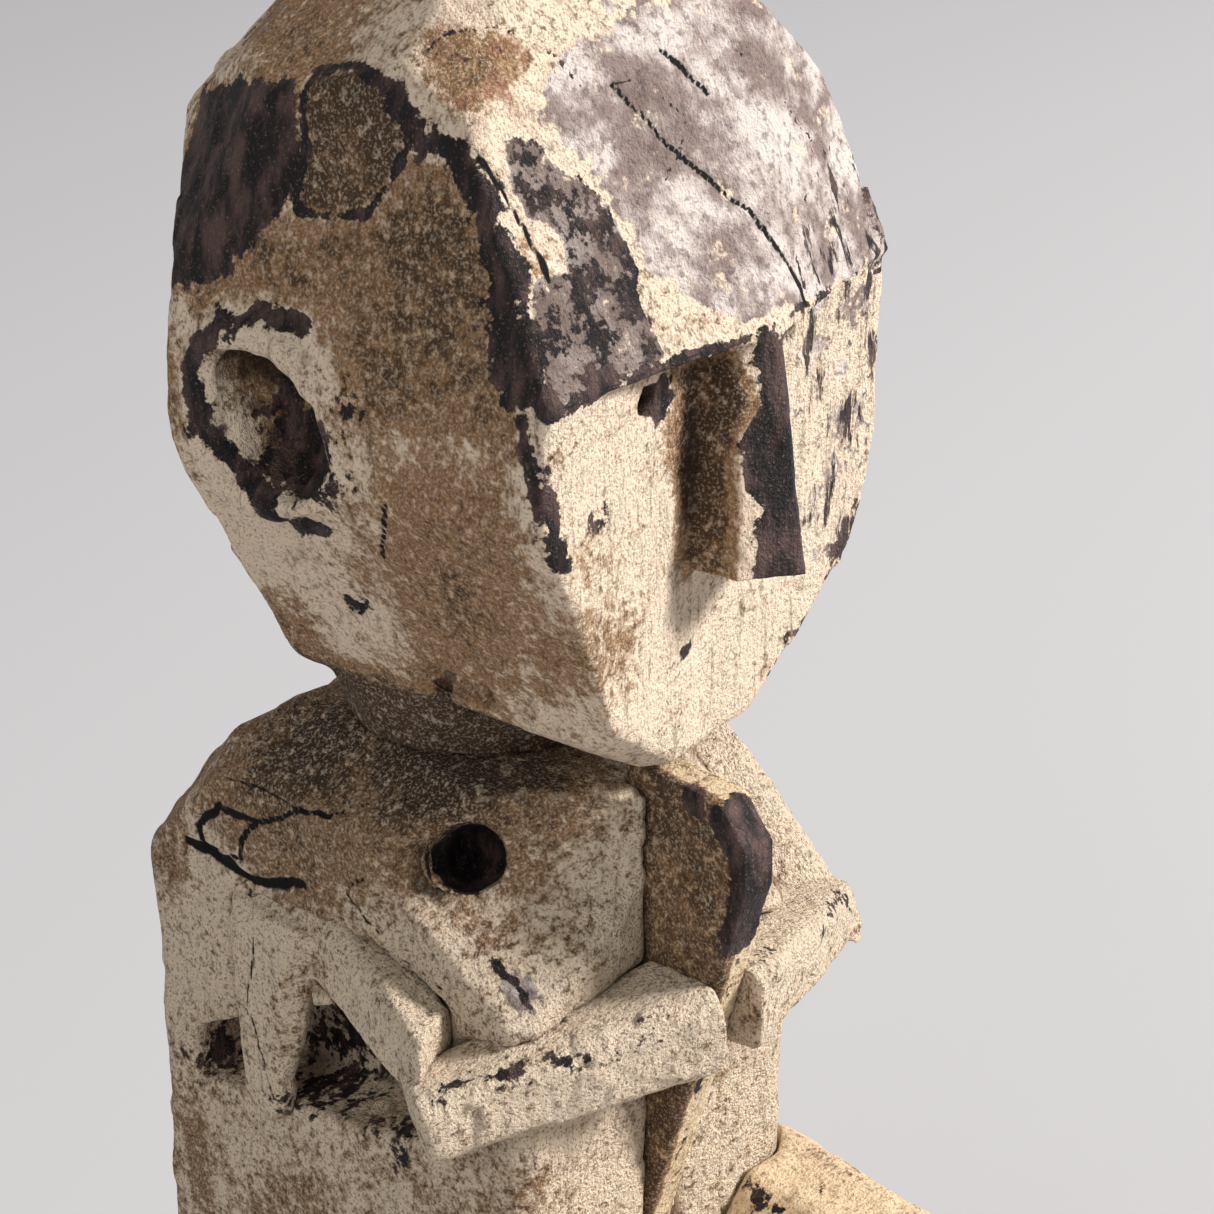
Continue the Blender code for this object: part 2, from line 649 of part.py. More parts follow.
head = make_head()
trunk = make_trunk()
board = make_board()
right_arm = right_upper_arm("right_arm")
right_forearm = forearm(-1, "right_forearm")
left_arm = left_whole_arm()
right_leg = leg(-1, "right_leg")
left_leg = leg(1, "left_leg")
stool = make_stool()
plinth = make_plinth()

# The forearms lie in housings in the front of the trunk, the right upper arm in one in its side, and the left
# upper arm on its side.
right_housing = forearm(-1, "right_housing_cut", GAP, cutters)
left_housing = forearm(1, "left_housing_cut", GAP, cutters)
cut(trunk, right_housing, left_housing, right_upper_arm("right_arm_housing_cut", GAP, cutters))
cut(right_arm, right_housing)
seat_on_board(right_forearm, -1)
seat_on_board(left_arm, 1)
seat_on_trunk(right_leg)
seat_on_trunk(left_leg)

finish(board, DARK_WOOD)
for body in (head, trunk, right_arm, right_forearm, left_arm, right_leg, left_leg):
    finish(body, CREAM_WOOD)
for body in (stool, plinth):
    finish(body, WARM_WOOD)

# The neck peg is driven in from behind and stops inside the tenon.
neck = Matrix.Rotation(math.radians(HEAD_TURN), 3, "Z") @ Vector((0, NECK_BACK, NECK_FOOT - NECK_PEG_DROP))
nape = NECK_SHELF_BACK + NECK_PEG_DROP * math.tan(math.radians(NAPE_SLOPE))
peg("neck_peg", (neck.x, nape + PEG_PROUD, neck.z), neck - BACK * TENON_RADIUS / 2, trunk, head)


def on_side(side, y, z):
    """A point on one side of the trunk, and the way that side faces."""
    edge, normal = trunk_side(side)
    point = Vector((0, y, z))
    point.x = edge.x - (y - edge.y) * normal.y / normal.x
    return point, normal


side_point, side_normal = on_side(-1, 8 * MM, ARM_TOP - 14 * MM)
dowel("right_arm_peg", side_point - side_normal * ARM_THICKNESS, side_normal, trunk, right_arm)
dowel("left_arm_peg", *on_side(1, -18 * MM, ARM_TOP - 4 * MM), trunk, left_arm)

for side, name, body in ((-1, "right_forearm_peg", right_forearm), (1, "left_forearm_peg", left_arm)):
    elbow, hand = forearm_line(side)
    inward = (hand - elbow).cross(UP * side).normalized()
    back_face = elbow.lerp(hand, 0.5) + inward * (ARM_THICKNESS / 2 + GAP)
    dowel(name, back_face, inward, trunk, body)

lap = STOOL_TOP + LAP_HEIGHT - THIGH_HEIGHT / 2
shin_y = SHIN_DEPTH / 2 - KNEE_FORWARD
seat_y = (STOOL_BACK - STOOL_FRONT) / 2
for side, hand_name, body in ((-1, "right", right_leg), (1, "left", left_leg)):
    dowel(hand_name + "_leg_peg", (side * LEG_PEG_SPREAD, -TRUNK_FRONT, lap), BACK, trunk, body)
    dowel(hand_name + "_foot_peg", (side * LEG_SPREAD, shin_y, PLINTH_HEIGHT), UP, plinth, body)
    dowel(hand_name + "_seat_peg", (side * PEG_SPREAD, seat_y, STOOL_TOP), UP, trunk, stool)
    dowel(hand_name + "_stool_peg", (side * PEG_SPREAD, seat_y, PLINTH_HEIGHT), UP, plinth, stool)
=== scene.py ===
import itertools
import math

import bmesh
import bpy
import numpy as np
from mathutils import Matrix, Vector


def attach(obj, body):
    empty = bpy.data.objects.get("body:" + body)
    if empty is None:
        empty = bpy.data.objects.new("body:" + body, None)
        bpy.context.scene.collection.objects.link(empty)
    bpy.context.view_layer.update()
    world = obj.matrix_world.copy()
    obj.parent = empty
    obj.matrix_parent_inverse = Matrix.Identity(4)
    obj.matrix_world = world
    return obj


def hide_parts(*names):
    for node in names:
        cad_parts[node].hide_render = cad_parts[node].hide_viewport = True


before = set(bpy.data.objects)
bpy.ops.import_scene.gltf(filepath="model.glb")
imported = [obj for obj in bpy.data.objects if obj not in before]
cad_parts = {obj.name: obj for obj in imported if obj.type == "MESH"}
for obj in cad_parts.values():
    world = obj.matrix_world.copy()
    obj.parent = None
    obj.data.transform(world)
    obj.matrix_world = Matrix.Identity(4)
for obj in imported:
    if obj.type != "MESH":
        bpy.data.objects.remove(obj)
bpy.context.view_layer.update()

MM = 0.001

# The studio: a plain pale floor, a warm lamp ahead of the figure's left shoulder that rakes across the front,
# a broad weak lamp on its right, and a camera that looks a little down on the head and the folded arms.
FLOOR_HALF = 40.0
EYE = Vector((-0.46578, -0.51900, 0.69742))
LOOKED_AT = Vector((0.019, -0.017, 0.372))
LENS = 88.96  # millimetres, on a 36 mm film
NEAREST_SEEN = 0.01
SKY_COLOUR = (0.83, 0.85, 0.88, 1)
SKY_STRENGTH = 0.36
PAPER_ROUGHNESS = 0.95

scene = bpy.context.scene
scene.view_settings.view_transform = "Standard"


def shade(red, green, blue):
    """A colour as it looks on a screen, 0 to 255, as the linear colour that a shader takes."""
    screen = np.array((red, green, blue)) / 255
    linear = np.where(screen > 0.04045, ((screen + 0.055) / 1.055) ** 2.4, screen / 12.92)
    return (*linear.tolist(), 1.0)


def lamp(name, turn, height, reach, size, power, colour):
    """A square lamp that looks at the figure's breast from reach metres away, turn degrees to its left of
    straight ahead and height degrees up."""
    light = bpy.data.lights.new(name, "AREA")
    light.size = size
    light.energy = power
    light.color = colour
    lit = bpy.data.objects.new(name, light)
    scene.collection.objects.link(lit)
    across, up = math.radians(turn), math.radians(height)
    way = Vector((math.sin(across) * math.cos(up), -math.cos(across) * math.cos(up), math.sin(up)))
    lit.location = LOOKED_AT + way * reach
    lit.rotation_euler = way.to_track_quat("Z", "Y").to_euler()


lamp("key_lamp", turn=40, height=35, reach=6.0, size=1.3, power=615, colour=(1.0, 0.97, 0.95))
lamp("fill_lamp", turn=-80, height=30, reach=5.0, size=3.0, power=74, colour=(1.0, 0.97, 0.94))

room = bpy.data.worlds.new("room")
room.use_nodes = True
sky = room.node_tree.nodes["Background"].inputs
sky["Color"].default_value = SKY_COLOUR
sky["Strength"].default_value = SKY_STRENGTH
scene.world = room

camera = bpy.data.objects.new("camera", bpy.data.cameras.new("camera"))
scene.collection.objects.link(camera)
camera.location = EYE
camera.rotation_euler = (LOOKED_AT - EYE).to_track_quat("-Z", "Y").to_euler()
camera.data.lens = LENS
camera.data.clip_start = NEAREST_SEEN
scene.camera = camera

floor_mesh = bpy.data.meshes.new("studio_floor")
floor_corners = [(x * FLOOR_HALF, y * FLOOR_HALF, 0) for x, y in ((-1, -1), (1, -1), (1, 1), (-1, 1))]
floor_mesh.from_pydata(floor_corners, [], [(0, 1, 2, 3)])
floor = bpy.data.objects.new("studio_floor", floor_mesh)
scene.collection.objects.link(floor)
paper = bpy.data.materials.new("floor_paper")
paper.use_nodes = True
sheet = paper.node_tree.nodes["Principled BSDF"].inputs
sheet["Base Color"].default_value = shade(188, 187, 188)
sheet["Roughness"].default_value = PAPER_ROUGHNESS
floor_mesh.materials.append(paper)

# The head. One block of close-grained wood, hewn with an adze into flat facets and then worn, with a ledge
# of a brow, a wedge of a nose, drilled eyes and cupped ears. Dark resin, grey bloom and a chalky crust lie on
# it in ragged patches, and the drying wood has split in thin lines. Its neck tenon stands in the trunk.
HEAD_NET = 1.3 * MM
HEAD_TURN = math.radians(11)
MERGE_GAP = 0.01 * MM
SKIN_SHARE = 0.75  # how much of the way square to the skin is left out of a distance along it
ALONG_GRAIN = (1, 1, 0.13)  # the grain runs up each piece


def chance(cells, seed):
    """A fixed number from 0 to 1 for each whole-numbered cell: the fraction left by a long sine."""
    mixed = np.sin(cells @ np.array([12.9898, 78.233, 37.719]) + 4.1 * seed) * 43758.5453
    return mixed - np.floor(mixed)


def drift(points, size, seed):
    """Smooth noise from -1 to 1: a chance at each corner of a grid of that size, blended by a smooth step."""
    grid = points / size
    cell = np.floor(grid)
    part = (grid - cell) ** 2 * (3 - 2 * (grid - cell))
    total = np.zeros(len(points))
    for corner in itertools.product((0, 1), repeat=3):
        share = np.where(corner, part, 1 - part).prod(axis=1)
        total += share * chance(cell + corner, seed)
    return total * 2 - 1


def nearest_cut(points, size, seed):
    """For each point, the way to it from the nearest of many scattered centres, one to a cell, and the cell
    of that centre."""
    cell = np.floor(points / size)
    best = np.full(len(points), np.inf)
    way, home = np.zeros_like(points), np.zeros_like(points)
    for step in itertools.product((-1, 0, 1), repeat=3):
        other = cell + step
        shift = np.stack([chance(other, seed + axis) for axis in range(3)], axis=1)
        gap = points - (other + shift) * size
        far = (gap**2).sum(axis=1)
        nearer = far < best
        best[nearer], way[nearer], home[nearer] = far[nearer], gap[nearer], other[nearer]
    return way, home


def adze_cuts(points, size, tilt, seed):
    """Depth of flat adze cuts: a point lies on the tilted plane of its nearest cut."""
    way, home = nearest_cut(points, size, seed)
    lean = np.stack([chance(home, seed + 10 + axis) for axis in range(3)], axis=1) * 2 - 1
    return (way * lean).sum(axis=1) * tilt


def line_gap(skin, line):
    """Distance along the skin from each point to the line through the given corners, in millimetres. Most of
    the way that is square to the skin is left out, because the corners may lie a little off it."""
    points, normals = skin
    corners = np.array(line, float)
    gap = np.full(len(points), np.inf)
    for start, end in zip(corners[:-1], corners[1:]):
        along = end - start
        share = np.clip((points / MM - start) @ along / (along @ along), 0, 1)
        way = points / MM - start - share[:, None] * along
        way -= SKIN_SHARE * (way * normals).sum(axis=1)[:, None] * normals
        gap = np.minimum(gap, np.linalg.norm(way, axis=1))
    return gap


def band(skin, line, width, soft=3):
    """1 within a band along a line and 0 away from it, with a soft rim, all in millimetres."""
    return np.clip(0.5 + (width / 2 - line_gap(skin, line)) / soft, 0, 1)


def patch(skin, outline, soft=5, depth=22):
    """1 inside an outline and 0 outside it, seen square to the outline's own plane, with a soft rim. Skin
    that lies further than depth from that plane is left alone."""
    points = skin[0]
    outline = np.array(outline, float)
    middle = outline.mean(axis=0)
    axes = np.linalg.svd(outline - middle)[2]
    flat = (points / MM - middle) @ axes.T
    rim = (outline - middle) @ axes.T
    gap, within = np.full(len(points), np.inf), np.zeros(len(points), bool)
    for start, end in zip(rim[:, :2], np.roll(rim[:, :2], -1, axis=0)):
        along = end - start
        share = np.clip((flat[:, :2] - start) @ along / (along @ along), 0, 1)
        gap = np.minimum(gap, np.linalg.norm(flat[:, :2] - start - share[:, None] * along, axis=1))
        crosses = (flat[:, 1] < start[1]) != (flat[:, 1] < end[1])
        rise = np.where(along[1] == 0, 1, along[1])
        within ^= crosses & (flat[:, 0] < start[0] + along[0] * (flat[:, 1] - start[1]) / rise)
    value = np.clip(0.5 + np.where(within, gap, -gap) / soft, 0, 1)
    return np.where(np.abs(flat[:, 2]) < depth, value, 0)


def blob(skin, middle, radius):
    """A soft round spot: 1 at its middle, falling off as a bell."""
    points = skin[0]
    return np.exp(-(((points / MM - np.array(middle)) ** 2).sum(axis=1)) / radius**2)


def strongest(marks):
    """At each point, the strongest of several marks."""
    return np.maximum.reduce(list(marks))


def read(mesh, kind):
    """The mesh's points or their normals, one row each."""
    rows = np.empty(len(mesh.vertices) * 3)
    if kind == "points":
        mesh.vertices.foreach_get("co", rows)
    else:
        mesh.vertex_normals.foreach_get("vector", rows)
    return rows.reshape(-1, 3)


def skin_of(mesh, wander=1.0):
    """The mesh's points and normals. The points wander by a slow noise, so that no mark follows a ruler."""
    points = read(mesh, "points")
    shift = [drift(points, 9 * MM, 50 + axis) + 0.6 * drift(points, 3.5 * MM, 60 + axis) for axis in range(3)]
    return points + np.stack(shift, 1) * wander * MM, read(mesh, "normals")


def move(mesh, points):
    """Puts the mesh's points at new places, one row each."""
    mesh.vertices.foreach_set("co", points.ravel().astype(np.float32))
    mesh.update()


def push(mesh, depth):
    """Every point moves out along its normal by its own depth."""
    move(mesh, read(mesh, "points") + read(mesh, "normals") * depth[:, None])


def soften(values, edges, times, share=0.5):
    """Each point's row is drawn towards the mean of the points joined to it, so many times over."""
    count = np.bincount(edges.ravel(), minlength=len(values))
    for _ in range(times):
        mean = np.stack(
            [
                np.bincount(edges[:, 0], column[edges[:, 1]], len(values))
                + np.bincount(edges[:, 1], column[edges[:, 0]], len(values))
                for column in values.T
            ],
            axis=1,
        ) / count[:, None]
        values = values + (mean - values) * share
    return values


def joins(mesh):
    """The two ends of every edge, one row each."""
    ends = np.empty(len(mesh.edges) * 2, np.int32)
    mesh.edges.foreach_get("vertices", ends)
    return ends.reshape(-1, 2)


def write(mesh, name, values):
    """A number for each point, which the finish reads by its name."""
    mesh.attributes.new(name, "FLOAT", "POINT").data.foreach_set("value", values.astype(np.float32))


def carve(node, net, worn=2, facet=15 * MM, tilt=0.05, lumps=0.5 * MM, seed=1):
    """A copy of a CAD piece, merged and woven anew as an even net, with worn edges, adze cuts, lumps and
    grain."""
    piece = bpy.data.objects.new("carved_" + node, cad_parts[node].data.copy())
    scene.collection.objects.link(piece)
    merged = bmesh.new()
    merged.from_mesh(piece.data)
    bmesh.ops.remove_doubles(merged, verts=merged.verts, dist=MERGE_GAP)
    merged.to_mesh(piece.data)
    merged.free()
    weave = piece.modifiers.new("even_net", "REMESH")
    weave.mode = "VOXEL"
    weave.voxel_size = net
    weave.use_smooth_shade = True
    woven = bpy.data.meshes.new_from_object(piece.evaluated_get(bpy.context.evaluated_depsgraph_get()))
    piece.modifiers.clear()
    piece.data = woven
    woven.name = piece.name
    woven.materials.clear()
    edges = joins(woven)
    move(woven, soften(read(woven, "points"), edges, worn))
    points = read(woven, "points")
    grain = drift(points * ALONG_GRAIN, 1.6 * MM, seed + 5) * 0.10 * MM
    rough = drift(points, 5 * MM, seed + 3) * 0.16 * MM + drift(points, 2.2 * MM, seed + 4) * 0.08 * MM
    hewn = adze_cuts(points, facet, tilt, seed) + drift(points, 24 * MM, seed + 2) * lumps
    push(woven, hewn + rough + grain)
    move(woven, soften(read(woven, "points"), edges, 1, 0.35))
    return piece


def relief(mesh, reach=14):
    """How far each point stands out of the shape around it, in millimetres: edges above 0, hollows below."""
    points = read(mesh, "points")
    around = soften(points, joins(mesh), reach, 1.0)
    return ((points - around) * read(mesh, "normals")).sum(axis=1) / MM


class Finish:
    """A material whose nodes are added one by one and joined by handing an output to an input."""

    def __init__(self, name):
        """An empty material. Its noises are laid by the piece's own coordinates."""
        self.material = bpy.data.materials.new(name)
        self.material.use_nodes = True
        self.tree = self.material.node_tree
        self.shader = self.tree.nodes["Principled BSDF"]
        self.place = self.tree.nodes.new("ShaderNodeTexCoord").outputs["Object"]

    def feed(self, socket, value):
        """Joins an output to the socket, or sets the socket to a plain value."""
        if isinstance(value, bpy.types.NodeSocket):
            self.tree.links.new(value, socket)
        else:
            socket.default_value = value

    def noise(self, size, detail=4.0, stretch=(1, 1, 1)):
        """Cloudy noise from 0 to 1, its clouds about as wide as size and drawn out along an axis where
        stretch is small."""
        turn = self.tree.nodes.new("ShaderNodeMapping")
        turn.inputs["Scale"].default_value = stretch
        self.feed(turn.inputs["Vector"], self.place)
        cloud = self.tree.nodes.new("ShaderNodeTexNoise")
        cloud.inputs["Scale"].default_value = 1 / size
        cloud.inputs["Detail"].default_value = detail
        cloud.inputs["Roughness"].default_value = 0.62
        self.feed(cloud.inputs["Vector"], turn.outputs["Vector"])
        return cloud.outputs["Fac"]

    def mark(self, name):
        """The number that the mesh holds under that name."""
        node = self.tree.nodes.new("ShaderNodeAttribute")
        node.attribute_name = name
        return node.outputs["Fac"]

    def reckon(self, operation, first, second, third=0.0):
        """One sum on two numbers, or on three where the operation takes three."""
        node = self.tree.nodes.new("ShaderNodeMath")
        node.operation = operation
        for socket, value in zip(node.inputs, (first, second, third)):
            self.feed(socket, value)
        return node.outputs["Value"]

    def times(self, first, second):
        """first times second."""
        return self.reckon("MULTIPLY", first, second)

    def plus(self, first, second):
        """first plus second."""
        return self.reckon("ADD", first, second)

    def blend(self, first, share, second):
        """first times share, plus second."""
        return self.reckon("MULTIPLY_ADD", first, share, second)

    def step(self, value, low, high):
        """0 below low, 1 above high, and smooth between them. It falls instead where low is over high."""
        node = self.tree.nodes.new("ShaderNodeMapRange")
        node.interpolation_type = "SMOOTHSTEP"
        for name, number in (("Value", value), ("From Min", low), ("From Max", high)):
            self.feed(node.inputs[name], number)
        return node.outputs["Result"]

    def mix(self, share, first, second):
        """The first colour, covered by the second as far as the share says."""
        node = self.tree.nodes.new("ShaderNodeMix")
        node.data_type = "RGBA"
        self.feed(node.inputs["Factor"], share)
        self.feed(node.inputs[6], first)
        self.feed(node.inputs[7], second)
        return node.outputs[2]

    def coat(self, under, mask, amount, over):
        """A coat of one colour over another, as thick as the mask times the amount."""
        return self.mix(self.times(mask, amount), under, over)


CRUST_CHALK = (236, 224, 204)
CRUST_SOIL = (74, 54, 36)
BLUSH_RED = (138, 76, 78)
# Painted shade for the hollows, in a dark soil brown.
PAINTED_HOLLOW_SHADE = (48, 32, 22)
BLOOM_DEEP, BLOOM_PALE, BLOOM_FLECK, BLOOM_DUSK = (122, 106, 103), (214, 203, 197), (92, 76, 74), (84, 68, 64)
PITCH_BLACK, PITCH_BROWN, PITCH_DUST = (26, 21, 22), (88, 68, 64), (150, 130, 112)
SPLIT_BLACK = (20, 16, 15)
DRY_ROUGHNESS, PITCH_ROUGHNESS = 0.88, 0.58
WOOD_SHEEN = 0.25
BUMP_STRENGTH, BUMP_DEPTH = 0.9, 1.9 * MM


def weathered_wood(name, crust, earth, brownness=0.5, grainy=1.0, coarse=1.0, gritty=0.0):
    """Bare wood under a chalky crust: pale crust worn through to brown earth colour, grain, painted shade in
    the hollows, and over it the grey bloom, the dark resin and the splits that the mesh marks, each with a
    ragged edge.
    brownness is how much earth colour shows, grainy how plain the grain is, coarse how deep the crust's bumps
    are and gritty how much of it is sand."""
    finish = Finish(name)
    crust, earth, soil, chalk = shade(*crust), shade(*earth), shade(*CRUST_SOIL), shade(*CRUST_CHALK)
    clouds = finish.noise(30 * MM, 6)
    blotch = finish.noise(8 * MM, 6)
    crumb = finish.noise(2.3 * MM, 7)
    sand = finish.noise(0.8 * MM, 2)
    grain = finish.noise(2.4 * MM, 5, (1, 1, 0.11))

    # The crust, worn through to earth colour and then to soil where the ground is high. The warm mark raises
    # the ground, both for stains and for painted shade and shadow.
    ground = finish.blend(clouds, 0.35, finish.times(blotch, 0.35))
    ground = finish.blend(crumb, 0.45, ground)
    ground = finish.blend(finish.mark("warm"), 0.30, ground)
    worn_from = 0.66 - 0.14 * brownness
    colour = finish.mix(finish.step(ground, worn_from, worn_from + 0.14), crust, earth)
    colour = finish.mix(finish.step(ground, worn_from + 0.19, worn_from + 0.36), colour, soil)

    # The grain, then crumbs and sand, dark and pale.
    colour = finish.coat(colour, finish.step(grain, 0.54, 0.68), 0.5 * grainy, soil)
    crumbly = finish.reckon("MAXIMUM", finish.step(clouds, 0.40, 0.60), gritty)
    crumbs = finish.times(finish.step(crumb, 0.53, 0.64), crumbly)
    colour = finish.coat(colour, crumbs, 0.6 + 0.2 * gritty, soil)
    colour = finish.coat(colour, finish.step(crumb, 0.45, 0.35), 0.42 + 0.3 * gritty, crust)
    colour = finish.coat(colour, finish.step(sand, 0.50, 0.66), 0.26 + 0.24 * gritty, chalk)
    colour = finish.coat(colour, finish.step(sand, 0.47, 0.34), 0.48 + 0.2 * gritty, soil)

    # The blush, the edges rubbed pale, and the painted shade that darkens the hollows.
    blush = finish.times(finish.mark("blush"), finish.step(blotch, 0.50, 0.58))
    colour = finish.coat(colour, blush, 0.35, shade(*BLUSH_RED))
    edge = finish.step(finish.blend(blotch, 0.8, finish.mark("edge")), 0.75, 1.25)
    colour = finish.coat(colour, edge, 0.40, crust)
    hollow = finish.step(finish.blend(blotch, 0.7, finish.mark("hollow")), 0.62, 1.15)
    colour = finish.coat(colour, hollow, 0.85, shade(*PAINTED_HOLLOW_SHADE))

    # The grey bloom. The ragged noise frays its edge, and the edges of the resin and the splits.
    ragged = finish.blend(blotch, 1.45, finish.times(crumb, 0.95))
    ragged = finish.reckon("SUBTRACT", ragged, 1.2)
    bloom = finish.step(finish.blend(ragged, 0.9, finish.mark("bloom")), 0.42, 0.58)
    cloudy = finish.step(finish.noise(13 * MM, 7), 0.40, 0.62)
    lilac = finish.mix(cloudy, shade(*BLOOM_DEEP), shade(*BLOOM_PALE))
    lilac = finish.coat(lilac, finish.step(crumb, 0.52, 0.64), 0.6, shade(*BLOOM_FLECK))
    lilac = finish.coat(lilac, finish.mark("dusk"), 0.75, shade(*BLOOM_DUSK))
    colour = finish.coat(colour, bloom, 0.9, lilac)

    # The dark resin, in patches and in strands that run down the grain, and the black of the splits.
    strands = finish.blend(finish.noise(6 * MM, 7, (1, 1, 0.28)), 1.7, finish.times(grain, 0.5))
    strands = finish.plus(strands, finish.plus(finish.mark("streak"), -1.1))
    patches = finish.plus(ragged, finish.mark("resin"))
    resin = finish.step(finish.reckon("MAXIMUM", patches, strands), 0.44, 0.54)
    pitchy = finish.step(finish.noise(6 * MM, 6, (1, 1, 0.4)), 0.42, 0.66)
    pitch = finish.mix(pitchy, shade(*PITCH_BLACK), shade(*PITCH_BROWN))
    pitch = finish.coat(pitch, finish.step(sand, 0.58, 0.70), 0.35, shade(*PITCH_DUST))
    colour = finish.mix(resin, colour, pitch)
    split = finish.step(finish.blend(ragged, 0.28, finish.mark("split")), 0.34, 0.56)
    colour = finish.mix(split, colour, shade(*SPLIT_BLACK))
    finish.feed(finish.shader.inputs["Base Color"], colour)

    # The resin is smoother than the dry crust, and the crumbs, the sand and the grain stand up as bumps.
    rough = finish.tree.nodes.new("ShaderNodeMapRange")
    rough.inputs["To Min"].default_value = DRY_ROUGHNESS
    rough.inputs["To Max"].default_value = PITCH_ROUGHNESS
    finish.feed(rough.inputs["Value"], resin)
    finish.feed(finish.shader.inputs["Roughness"], rough.outputs["Result"])
    finish.shader.inputs["Specular IOR Level"].default_value = WOOD_SHEEN
    height = finish.blend(crumb, 0.55, finish.times(sand, 0.35))
    height = finish.blend(grain, 0.45 * grainy, height)
    height = finish.blend(resin, -0.16, height)
    bump = finish.tree.nodes.new("ShaderNodeBump")
    bump.inputs["Strength"].default_value = BUMP_STRENGTH
    bump.inputs["Distance"].default_value = BUMP_DEPTH * coarse
    finish.feed(bump.inputs["Height"], height)
    finish.feed(finish.shader.inputs["Normal"], bump.outputs["Normal"])
    return finish.material


def dress(piece, material, slot, *nodes):
    """Gives a carved piece its finish and puts it in place of its CAD piece."""
    piece.data.materials.append(material)
    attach(piece, "root")
    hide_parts(*nodes)


EDGE_FROM, EDGE_RANGE = 0.4, 1.6


def mark_wear_and_hollow_shade(mesh, hollow_range=1.6):
    """Marks the hollows, which the finish darkens with painted shade, and the edges, where hands rub the wood
    pale. The ranges are how far in millimetres the skin sinks or stands before the mark is full."""
    stands = relief(mesh)
    write(mesh, "hollow", np.clip(-stands / hollow_range, 0, 1))
    write(mesh, "edge", np.clip((stands - EDGE_FROM) / EDGE_RANGE, 0, 1))


head = carve("head", HEAD_NET, worn=3, facet=17 * MM, tilt=0.045, lumps=0.5 * MM, seed=3)
skin = skin_of(head.data)
across, back, height = skin[0].T / MM

# Outlines go round a patch and lines run along a mark, by their corners in millimetres from the origin.
side_panel = [(-57, 25, 516), (-57, 5, 520), (-60, 1, 513), (-63, -1, 496), (-67, 6, 486), (-71, 14, 476),
              (-74, 34, 466), (-70, 46, 478), (-66, 46, 496), (-58, 46, 510)]
cell_rim = [(-54, 1, 523), (-52, -11, 526), (-53, -22, 524), (-54, -28, 516), (-53, -32, 513),
            (-56, -27, 504), (-59, -22, 496), (-62, -13, 493), (-64, -2, 492), (-63, -1, 498),
            (-61, -2, 507), (-59, 1, 517), (-54, 1, 523)]
temple_ridge = [(-53, -24, 523), (-53, -32, 513), (-52, -41, 512), (-52, -51, 505), (-52, -57, 495),
                (-52, -65, 484), (-54, -70, 475), (-56, -72, 465), (-55, -77, 462)]
temple_stain = [(-53, -42, 511), (-53, -48, 500), (-53, -53, 497), (-55, -55, 485), (-57, -58, 475),
                (-58, -59, 466), (-59, -64, 459), (-56, -74, 460), (-54, -70, 475), (-52, -64, 485),
                (-52, -56, 496), (-52, -50, 505)]
cheek_line = [(-58, -70, 459), (-58, -72, 452), (-58, -74, 445), (-55, -77, 434), (-53, -77, 426)]
near_scale = [(-43, -48, 515), (-34, -50, 512), (-26, -54, 504), (-20, -59, 496), (-18, -64, 487),
              (-21, -68, 480), (-20, -74, 469), (-19, -76, 465), (-43, -75, 461), (-55, -77, 462),
              (-54, -70, 475), (-51, -65, 484), (-47, -63, 487), (-37, -64, 487), (-37, -59, 494),
              (-44, -57, 499), (-45, -53, 506)]
scale_rims = [
    [(-43, -48, 515), (-34, -50, 512), (-26, -54, 504), (-20, -59, 496), (-18, -64, 487), (-21, -68, 480),
     (-20, -74, 469)],
    [(-8, -46, 520), (1, -47, 519), (6, -49, 515), (10, -52, 510), (4, -56, 502), (-3, -58, 498)],
    [(32, -46, 521), (35, -49, 516), (42, -51, 508), (54, -52, 495), (49, -57, 487), (34, -64, 482),
     (31, -68, 475), (32, -70, 467)],
    [(-48, -26, 530), (-41, -29, 534), (-34, -35, 535), (-26, -39, 532), (-19, -42, 527), (-15, -46, 520)],
]
drying_splits = [
    [(-50, -49, 512), (-47, -53, 504), (-45, -59, 494), (-43, -64, 486)],
    [(-8, -46, 520), (1, -53, 507), (10, -59, 497), (18, -64, 489), (23, -69, 480), (30, -70, 469),
     (30, -72, 465)],
    [(11, -44, 524), (19, -50, 513)],
    [(-66, -32, 430), (-59, -23, 412)],
    [(-54, -8, 394), (-52, -3, 388)],
]
crown_stain = [(-45, -25, 533), (-35, -36, 534), (-31, -41, 528), (-37, -44, 522), (-47, -41, 522),
               (-48, -33, 526)]
brow_edge = [(-54, -77, 462), (-36, -76, 463), (-18, -77, 464), (5, -77, 464), (27, -73, 465), (54, -63, 461),
             (81, -52, 458)]
nose_front = [(8, -78, 464), (8, -78, 452), (9, -78, 446), (4, -77, 439), (5, -78, 428), (8, -80, 421),
              (4, -81, 404), (19, -89, 403), (23, -86, 430), (24, -80, 462)]
nose_side = [(-6, -65, 455), (5, -72, 460), (9, -78, 444), (4, -75, 440), (3, -75, 428), (2, -78, 417),
             (1, -78, 405), (-1, -64, 401), (-7, -66, 428)]
ear_rim = [(-68, -7, 468), (-70, 4, 468), (-75, 14, 465), (-78, 21, 456), (-78, 23, 449), (-76, 21, 437),
           (-73, 13, 429), (-73, 2, 423), (-65, 1, 414), (-64, -6, 416)]
far_cheek = [(27, -74, 464), (79, -52, 458), (82, -48, 430), (78, -48, 400), (70, -50, 384), (55, -55, 382),
             (50, -55, 394), (45, -56, 423), (40, -60, 455)]
far_temple = [(56, -51, 497), (72, -44, 494), (82, -50, 467), (81, -52, 459), (31, -71, 466), (32, -67, 476),
              (34, -64, 481), (48, -58, 485)]
pale_lobe = [(-17, -66, 483), (-11, -68, 479), (-3, -73, 472), (5, -76, 466), (3, -77, 463), (-17, -76, 465),
             (-19, -71, 473), (-20, -68, 479)]
